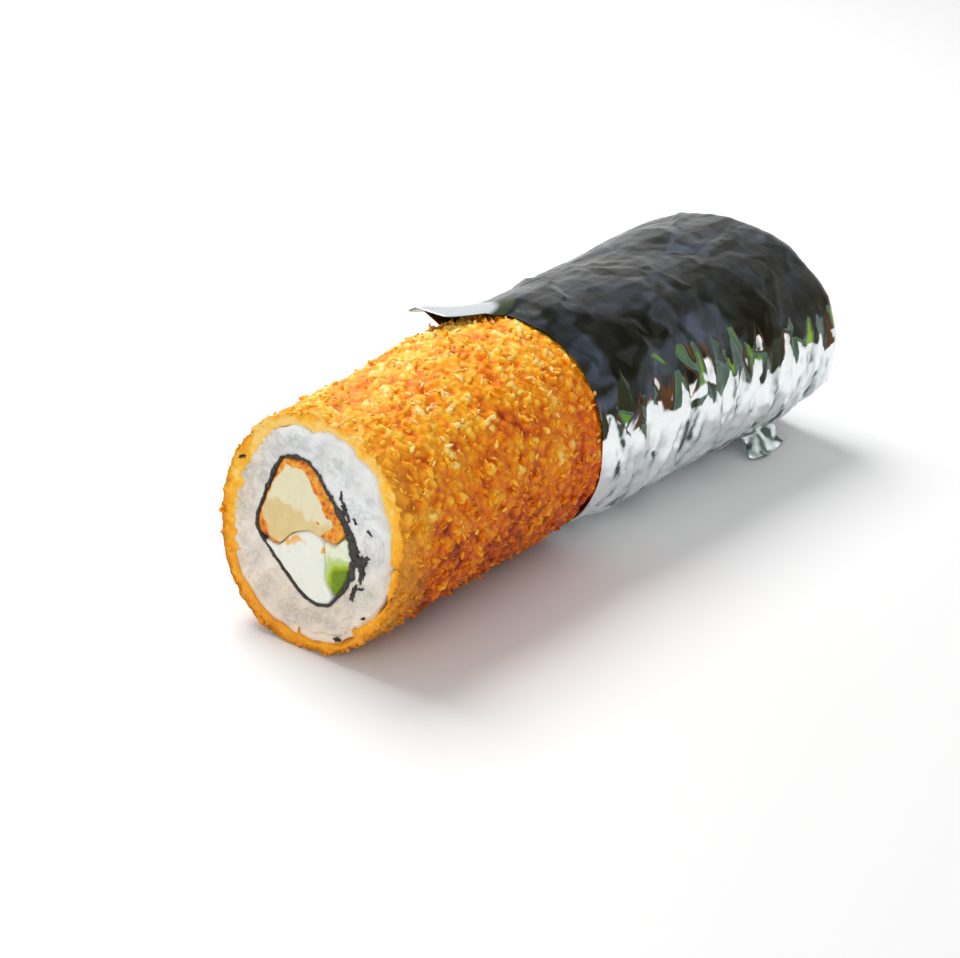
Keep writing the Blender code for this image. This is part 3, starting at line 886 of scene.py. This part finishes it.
def read_facet(sheet, angle, s):
    """Height of a facet sheet, and the random tone of the facet."""
    tree, tones = sheet
    hit = tree.ray_cast(Vector(((angle % math.tau) * GIRTH_RADIUS, s, 40.0)), Vector((0.0, 0.0, -1.0)))
    return (0.0, 0.5) if hit[0] is None else (hit[0].z, tones[hit[2]])


BROAD_FACETS = facet_sheet(11.0, 14.0, 0.70, 4)
SMALL_FACETS = facet_sheet(5.0, 6.0, 0.28, 8)
WRINKLES = facet_sheet(9.0, 2.6, 0.75, 15)
FINE_WRINKLES = facet_sheet(4.5, 1.7, 0.25, 23)
SLIVERS = facet_sheet(9.5, 3.4, 0.0, 31)

# %% [markdown]
# At the front the foil hugs the crumbs, and further back it stands off them. On the far side of the
# top a loose flap of it runs forward and lifts, which the same rings make by moving their points.

# %% Skin the foil
FOLD_START = FOIL_END - 6.0
END_ROWS = 22
LIP_ANGLE = math.radians(115.0)
LIP_HALF = math.radians(22.0)
LIP_LENGTH = 15.5
LIP_HEIGHT = 57.0
HUG_LENGTH = 9.0
HUG_GAP = 0.6
# Tones that steer the foil's painted reflections, and the share of the flap
FOIL_MARKS = ("facet_reflection_tone", "wrinkle_reflection_tone", "sliver_reflection_tone", "sliver_reflection_hue", "flap_share")
foil_marks = {name: [] for name in FOIL_MARKS}


def foil_ring(s, inward):
    """A ring of the foil; it also notes each point's tones for the material's painted reflections."""
    ring = []
    forward = (1.0 - float(smoothstep(FOIL_EDGE, FOIL_EDGE + 14.0, s))) ** 2
    hug = 1.0 - float(smoothstep(FOIL_EDGE, FOIL_EDGE + HUG_LENGTH, s))
    for index in range(FOIL_AROUND):
        angle = math.tau * index / FOIL_AROUND
        offset = abs((angle - LIP_ANGLE + math.pi) % math.tau - math.pi) / LIP_HALF
        lip = (1.0 - float(smoothstep(0.35, 1.0, offset))) * forward
        radius = radius_on(foil_tree, angle, min(max(s, FOIL_EDGE + 0.3), FOLD_START)) or 30.0
        close = radius_on(crust_tree, angle, FOIL_EDGE) + HUG_GAP
        wing = (LIP_HEIGHT + 1.8 * lip - AXIS_HEIGHT) / max(math.sin(angle), 0.87)
        close += max(wing - close, 0.0) * min(3.0 * lip, 1.0)
        radius = radius * (1.0 - hug) + close * hug
        ring_place = across_roll(angle, s / GIRTH_RADIUS)
        slant = s + 7.0 * noise.noise(ring_place * 2.2) + 2.5 * noise.noise(ring_place * 7.0)
        broad, facet_reflection_tone = read_facet(BROAD_FACETS, angle, slant)
        small, small_tone = read_facet(SMALL_FACETS, angle, slant)
        wrinkle, wrinkle_reflection_tone = read_facet(WRINKLES, angle, s)
        fine, fine_tone = read_facet(FINE_WRINKLES, angle, s)
        low = 1.0 - float(smoothstep(-0.10, 0.40, math.sin(angle)))
        relief = (broad + small) * (1.0 - 0.6 * low) + (wrinkle + fine) * (0.05 + 0.95 * low)
        relief *= (0.15 + 0.85 * (1.0 - hug)) * (1.0 if inward == 0.0 else 0.3)
        radius += relief - inward - 0.35 * (1.0 - hug)
        edge = 0.7 * noise.noise(across_roll(angle, 5.0) * 2.5) * hug
        z = max(AXIS_HEIGHT + radius * math.sin(angle), inward * 0.5)
        ring.append((radius * math.cos(angle), s + FACE_START + edge - LIP_LENGTH * lip, z))
        foil_marks["facet_reflection_tone"].append(0.55 * facet_reflection_tone + 0.45 * small_tone)
        foil_marks["wrinkle_reflection_tone"].append(0.6 * wrinkle_reflection_tone + 0.4 * fine_tone)
        sliver_reflection_tone = read_facet(SLIVERS, angle + 0.012 * s, s)[1]
        foil_marks["sliver_reflection_tone"].append(sliver_reflection_tone)
        foil_marks["sliver_reflection_hue"].append(7.3 * sliver_reflection_tone % 1.0)
        foil_marks["flap_share"].append(lip if inward == 0.0 else -min(4.0 * lip, 1.0))
    return ring


INNER_PLACES = (FOIL_END - 3.5, 150.0, 120.0, 100.0, FOIL_EDGE + 13.0, FOIL_EDGE + 10.0, FOIL_EDGE + 7.5)
foil_rings = [foil_ring(at, 0.9) for at in INNER_PLACES]
foil_rings += [foil_ring(FOIL_EDGE + at, 0.40) for at in (5.5, 4.0, 2.8, 1.8, 0.9, 0.3)]
s = FOIL_EDGE
while s < FOLD_START:
    foil_rings.append(foil_ring(s, 0.0))
    s += FOIL_STEP * (1.0 if s > FOIL_EDGE + 8.0 else 0.6)
last_ring = np.array(foil_ring(FOLD_START, 0.0))
foil_rings.append(last_ring.tolist())
last_marks = {name: values[-FOIL_AROUND:] for name, values in foil_marks.items()}
for row in range(1, END_ROWS + 1):
    share = row / END_ROWS
    turn = min(share * 2.2, 1.0) * math.pi / 2.0
    shrink = 1.0 - 0.16 * (1.0 - math.cos(turn)) - 0.80 * max(share - 0.45, 0.0) / 0.55
    centre = np.array([0.0, 0.0, AXIS_HEIGHT])
    ring = (last_ring - centre) * np.array([shrink, 1.0, shrink]) + centre
    marks = {name: list(values) for name, values in last_marks.items()}
    for column in range(FOIL_AROUND):
        angle = math.tau * column / FOIL_AROUND
        inward_place = FOLD_START + 26.0 * share
        broad, broad_tone = read_facet(BROAD_FACETS, angle, inward_place)
        wrinkle, marks["wrinkle_reflection_tone"][column] = read_facet(WRINKLES, angle, inward_place)
        marks["facet_reflection_tone"][column] = broad_tone
        swirl = angle * 9.0 + 2.6 * noise.noise(across_roll(angle, share * 1.5) * 1.7)
        pleat = 0.6 * (4.0 * abs(swirl / math.tau - math.floor(swirl / math.tau + 0.5)) - 1.0)
        pleat = (pleat + 0.9 * broad + 0.4 * wrinkle) * min(share * 3.0, 1.0) * min(shrink * 1.5, 1.0)
        dished = 5.2 * math.sin(turn) - 2.2 * max(share - 0.5, 0.0)
        ring[column, 1] = FACE_START + FOLD_START + dished + pleat
    foil_rings.append(ring.tolist())
    for name, values in marks.items():
        foil_marks[name] += values
foil_points = np.array([point for ring in foil_rings for point in ring])
foil_points[:, 1] = np.minimum(foil_points[:, 1], FOIL_BOX[1].y + 0.8)
faces = ring_faces(len(foil_rings), FOIL_AROUND, False)
faces.append(tuple(reversed(range(FOIL_AROUND))))
last = (len(foil_rings) - 1) * FOIL_AROUND
faces.append(tuple(last + index for index in range(FOIL_AROUND)))
foil_wrap = make_piece("kitchen_foil", foil_points, faces)
for name, values in foil_marks.items():
    tones = np.array(values).reshape(-1, FOIL_AROUND)
    if name != "flap_share":
        tones = 0.5 * tones + 0.25 * (np.roll(tones, 1, axis=1) + np.roll(tones, -1, axis=1))
        tones[1:-1] = 0.5 * tones[1:-1] + 0.25 * (tones[:-2] + tones[2:])
    add_attribute(foil_wrap, name, tones.ravel())
print("foil rings", len(foil_rings), "faces", len(foil_wrap.data.polygons))

# %% [markdown]
# Low on the near side a small crumpled scrap of foil sticks out: a little sheet, bent point by
# point and given thickness.

# %% Scrap
SCRAP_GRID = 26


def scrap_shape(u, v):
    """A crumpled tongue that lies low on the near side."""
    s = 154.5 + 14.0 * u + 1.2 * math.sin(6.0 * v)
    crease, _ = read_facet(WRINKLES, 1.0 + 0.25 * v, 90.0 + 13.0 * u)
    bend, _ = read_facet(SMALL_FACETS, 2.0 + 0.3 * v, 90.0 + 12.0 * u)
    z = 4.0 * (1.0 - v) ** 1.3 + 1.0 + (crease + 3.5 * bend) * min(1.0, 2.0 * v)
    return (24.5 + 5.5 * v + 0.8 * crease - 1.2 * abs(2.0 * u - 1.0) ** 2, s + FACE_START, max(z, 0.3))


steps = [i / (SCRAP_GRID - 1) for i in range(SCRAP_GRID)]
scrap_faces = []
for i in range(SCRAP_GRID - 1):
    for j in range(SCRAP_GRID - 1):
        first = i * SCRAP_GRID + j
        scrap_faces.append((first, first + SCRAP_GRID, first + SCRAP_GRID + 1, first + 1))
foil_scrap = make_piece("foil_scrap", [scrap_shape(u, v) for u in steps for v in steps], scrap_faces)
thickness = foil_scrap.modifiers.new("thickness", "SOLIDIFY")
thickness.thickness = 0.25 * MM
thickness.offset = 0.0
scrap_points = np.array([vertex.co[:] for vertex in foil_scrap.data.vertices]) / MM
# painted reflection: tones that make the scrap grey-green with lighter spots
add_attribute(foil_scrap, "wrinkle_reflection_tone", 0.24 + 0.30 * noise_at(scrap_points, 2.5, 2.0))


# %% [markdown]
# Bare aluminium is a metal: metallic 1, default IOR, roughness about 0.25 for crumpled foil. The upper
# half mirrors a dark room and the lower half the white dish. The studio here is pale all round, so these
# reflections are painted into the metal's colour, facet by facet: painted reflections of charcoal and
# slate above, silver below, and between them long slivers of green and rust. The flap gets a painted
# shadow at its root and painted reflections on its top and inner skin.

# %% Foil material with painted reflections
def crumpled_foil(name):
    material, tree, shader, place = start_material(name)
    axes = add_node(tree, "ShaderNodeSeparateXYZ", {0: place})
    facet, wrinkle, sliver, hue, flap = [point_value(tree, mark) for mark in FOIL_MARKS]
    haze = noise_map(tree, place, 12.0, 2.0)
    # painted reflection: the jagged line above which the foil is painted dark, as if it mirrored a dark
    # room
    level = maths(tree, "MULTIPLY_ADD", axes.outputs["Y"], 0.04, axes.outputs["Z"])
    jagged = maths(tree, "MULTIPLY_ADD", sliver, 11.0, level)
    dark_reflection_share = ranged(tree, jagged, 42.8, 43.4)
    tone = maths(tree, "MULTIPLY_ADD", haze, 0.8, -0.4)
    tone = maths(tree, "ADD", tone, facet)
    # painted dark reflection, facet by facet, from charcoal to slate
    dark_reflection = add_node(tree, "ShaderNodeValToRGB", {0: tone}, ramp=[
        (0.10, "#17160d"), (0.94, "#58606d"), (0.30, "#26271e"),
        (0.46, "#313535"), (0.64, "#3b4146"), (0.80, "#464d58")])
    # painted reflection: darker towards the top, and nearly black low down at the back
    top_reflection_darkening = ranged(tree, axes.outputs["Z"], 42.0, 55.0, 0.0, 0.7)
    behind = ranged(tree, axes.outputs["Y"], FACE_START + 135.0, FACE_START + 165.0, 0.0, 0.75)
    below = ranged(tree, axes.outputs["Z"], 52.0, 44.0)
    black_reflection_share = maths(tree, "MULTIPLY", behind, below)
    dark_reflection_tone = mixed(tree, top_reflection_darkening, dark_reflection.outputs[0], "#93979b", "MULTIPLY")
    dark_reflection_tone = mixed(tree, black_reflection_share, dark_reflection_tone, "#211e10")
    # painted reflection of the white dish below, with darker creases
    silver_reflection = add_node(tree, "ShaderNodeValToRGB", {0: wrinkle}, ramp=[
        (0.17, "#4c564e"), (0.52, "#f4f8f9"), (0.21, "#8e9994"), (0.27, "#c3cccc"), (0.38, "#e4eaeb")])
    base = mixed(tree, dark_reflection_share, silver_reflection.outputs[0], dark_reflection_tone)
    # painted reflections of green and rust-brown surroundings, in slivers along the dark line
    green_and_rust_reflection = add_node(tree, "ShaderNodeValToRGB", {0: hue}, ramp=[
        (0.00, "#8cb028"), (0.84, "#6b4429"), (0.14, "#6a8f3a"),
        (0.28, "#4a6350"), (0.44, "#62746c"), (0.62, "#2f3424")])
    green_and_rust_reflection.color_ramp.interpolation = "EASE"
    near = ranged(tree, jagged, 38.6, 39.4)
    far = ranged(tree, jagged, 47.0, 46.4)
    some = ranged(tree, hue, 0.88, 0.80)
    band = maths(tree, "MULTIPLY", near, far)
    band = maths(tree, "MULTIPLY", band, some)
    base = mixed(tree, band, base, green_and_rust_reflection.outputs[0])
    # painted shadow, tinted green, under the flap's root; painted pale reflection on its top and painted
    # grey-green reflection on its inner skin
    root = ranged(tree, flap, 0.04, 0.08)
    base = mixed(tree, root, base, "#3c4630")
    pale = ranged(tree, flap, 0.22, 0.32)
    base = mixed(tree, pale, base, "#ccd5d8")
    under = ranged(tree, flap, -0.05, -0.4)
    base = mixed(tree, under, base, "#8a9488")
    tree.links.new(base, shader.inputs["Base Color"])
    fine = noise_map(tree, place, 3.0, 3.0)
    finish_surface(tree, shader, (haze, 0.20, 0.34), (fine, 0.12, 0.0005), {
        "Metallic": 1.0,
    })
    return material


aluminium_foil = crumpled_foil("crumpled_aluminium_foil")
dress(foil_wrap, aluminium_foil, "foil_wrap", "foil_wrap")
dress(foil_scrap, aluminium_foil, "foil_wrap")

# %% [markdown]
# ## Stage, light and camera
# A plain pale floor keeps the shadow. A broad lamp behind and to the left gives the pale top and
# the shadow that falls to the right; a weaker one in front fills the cut face. The world looks
# white to the camera and to reflections, and is softer as light.

# %% Floor
FLOOR_HALF = 1.5
floor_mesh = bpy.data.meshes.new("floor")
corners = [(-FLOOR_HALF, -FLOOR_HALF, 0.0), (FLOOR_HALF, -FLOOR_HALF, 0.0),
           (FLOOR_HALF, FLOOR_HALF, 0.0), (-FLOOR_HALF, FLOOR_HALF, 0.0)]
floor_mesh.from_pydata(corners, [], [(0, 1, 2, 3)])
floor = bpy.data.objects.new("floor", floor_mesh)
bpy.context.scene.collection.objects.link(floor)
floor.location.z = -0.0001
floor_material, floor_tree, floor_shader, _ = start_material("pale_floor")
floor_shader.inputs["Base Color"].default_value = linear("#e9e9e9")
floor_shader.inputs["Roughness"].default_value = 0.6
floor_mesh.materials.append(floor_material)

# %% World and lamps
world = bpy.data.worlds.new("studio")
bpy.context.scene.world = world
world.use_nodes = True
world_tree = world.node_tree
background = world_tree.nodes["Background"]
background.inputs["Color"].default_value = linear("#ffffff")
rays = add_node(world_tree, "ShaderNodeLightPath")
seen = maths(world_tree, "MAXIMUM", rays.outputs["Is Camera Ray"], rays.outputs["Is Glossy Ray"])
seen = maths(world_tree, "MAXIMUM", seen, rays.outputs["Is Transmission Ray"])
strength = add_node(world_tree, "ShaderNodeMapRange", {"Value": seen, "To Min": 0.46, "To Max": 1.0})
world_tree.links.new(strength.outputs[0], background.inputs["Strength"])


def add_lamp(name, place, target, size, power):
    lamp_data = bpy.data.lights.new(name, "AREA")
    lamp_data.size = size
    lamp_data.energy = power
    lamp = bpy.data.objects.new(name, lamp_data)
    lamp.location = place
    lamp.rotation_euler = (Vector(target) - Vector(place)).to_track_quat("-Z", "Y").to_euler()
    bpy.context.scene.collection.objects.link(lamp)


add_lamp("key", (-0.45, 0.15, 0.75), (0.0, 0.0, 0.02), 0.45, 7.2)
add_lamp("fill", (0.25, -0.90, 0.45), (0.0, 0.0, 0.02), 0.60, 3.4)

# %% Camera
CAMERA_AZIMUTH = math.radians(36.12)
CAMERA_ELEVATION = math.radians(26.0)
CAMERA_ROLL = math.radians(1.98)
CAMERA_DISTANCE = 0.5746
CAMERA_TARGET = Vector((0.0122, -0.0395, 0.0270))
LENS = 91.2
camera_data = bpy.data.cameras.new("camera")
camera_data.lens = LENS
camera_data.sensor_width = 36.0
camera = bpy.data.objects.new("camera", camera_data)
toward = Vector((math.sin(CAMERA_AZIMUTH) * math.cos(CAMERA_ELEVATION),
                 -math.cos(CAMERA_AZIMUTH) * math.cos(CAMERA_ELEVATION), math.sin(CAMERA_ELEVATION)))
camera.location = CAMERA_TARGET + toward * CAMERA_DISTANCE
look = (-toward).to_track_quat("-Z", "Y")
camera.rotation_euler = (look.to_matrix() @ Matrix.Rotation(CAMERA_ROLL, 3, "Z")).to_euler()
bpy.context.scene.collection.objects.link(camera)
bpy.context.scene.camera = camera
bpy.context.scene.view_settings.view_transform = "Standard"
